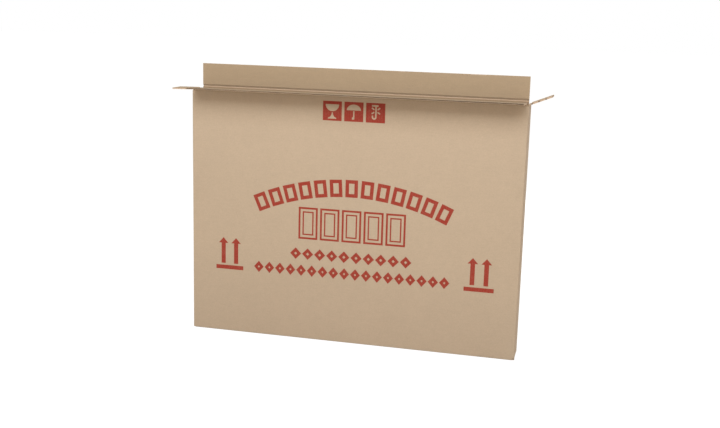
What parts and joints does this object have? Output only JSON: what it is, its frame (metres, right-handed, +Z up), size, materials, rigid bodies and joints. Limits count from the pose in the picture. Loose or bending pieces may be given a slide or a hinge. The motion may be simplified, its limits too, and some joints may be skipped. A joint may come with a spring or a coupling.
{
  "type": "picture frame box",
  "caption": "Tall, narrow corrugated shipping carton for a framed picture or mirror, open at the top with hinged full-overlap flaps.",
  "frame": {"origin": "middle of the base, on the underside of the outer bottom flap", "axes": "+X to the right along the wide panels, +Y from the front panel to the back panel, +Z up"},
  "size_m": [1.1742, 0.1445, 0.8493],
  "materials": {
    "printed_board": "kraft liner with a one-colour print",
    "plain_board": "plain kraft liner",
    "red_ink": "matt flexographic ink"
  },
  "bodies": {
    "carton": {"carton_body": "printed_board"},
    "front_flap": {"front_flap": "plain_board"},
    "back_flap": {"back_flap": "plain_board"},
    "left_end_flap": {"left_end_flap": "plain_board"},
    "right_end_flap": {"right_end_flap": "plain_board"}
  },
  "joints": [
    {"name": "front_flap_crease", "type": "hinge", "parent": "carton", "child": "front_flap", "pos_m": [0, -0.037, 0.775], "axis": [1, 0, 0], "range_deg": [-178, 32]},
    {"name": "back_flap_crease", "type": "hinge", "parent": "carton", "child": "back_flap", "pos_m": [0, 0.037, 0.7793], "axis": [-1, 0, 0], "range_deg": [-90, 120]},
    {"name": "left_end_flap_crease", "type": "hinge", "parent": "carton", "child": "left_end_flap", "pos_m": [-0.5195, 0, 0.7707], "axis": [0, -1, 0], "range_deg": [-181, 29]},
    {"name": "right_end_flap_crease", "type": "hinge", "parent": "carton", "child": "right_end_flap", "pos_m": [0.5195, 0, 0.7707], "axis": [0, 1, 0], "range_deg": [-158, 52]}
  ]
}
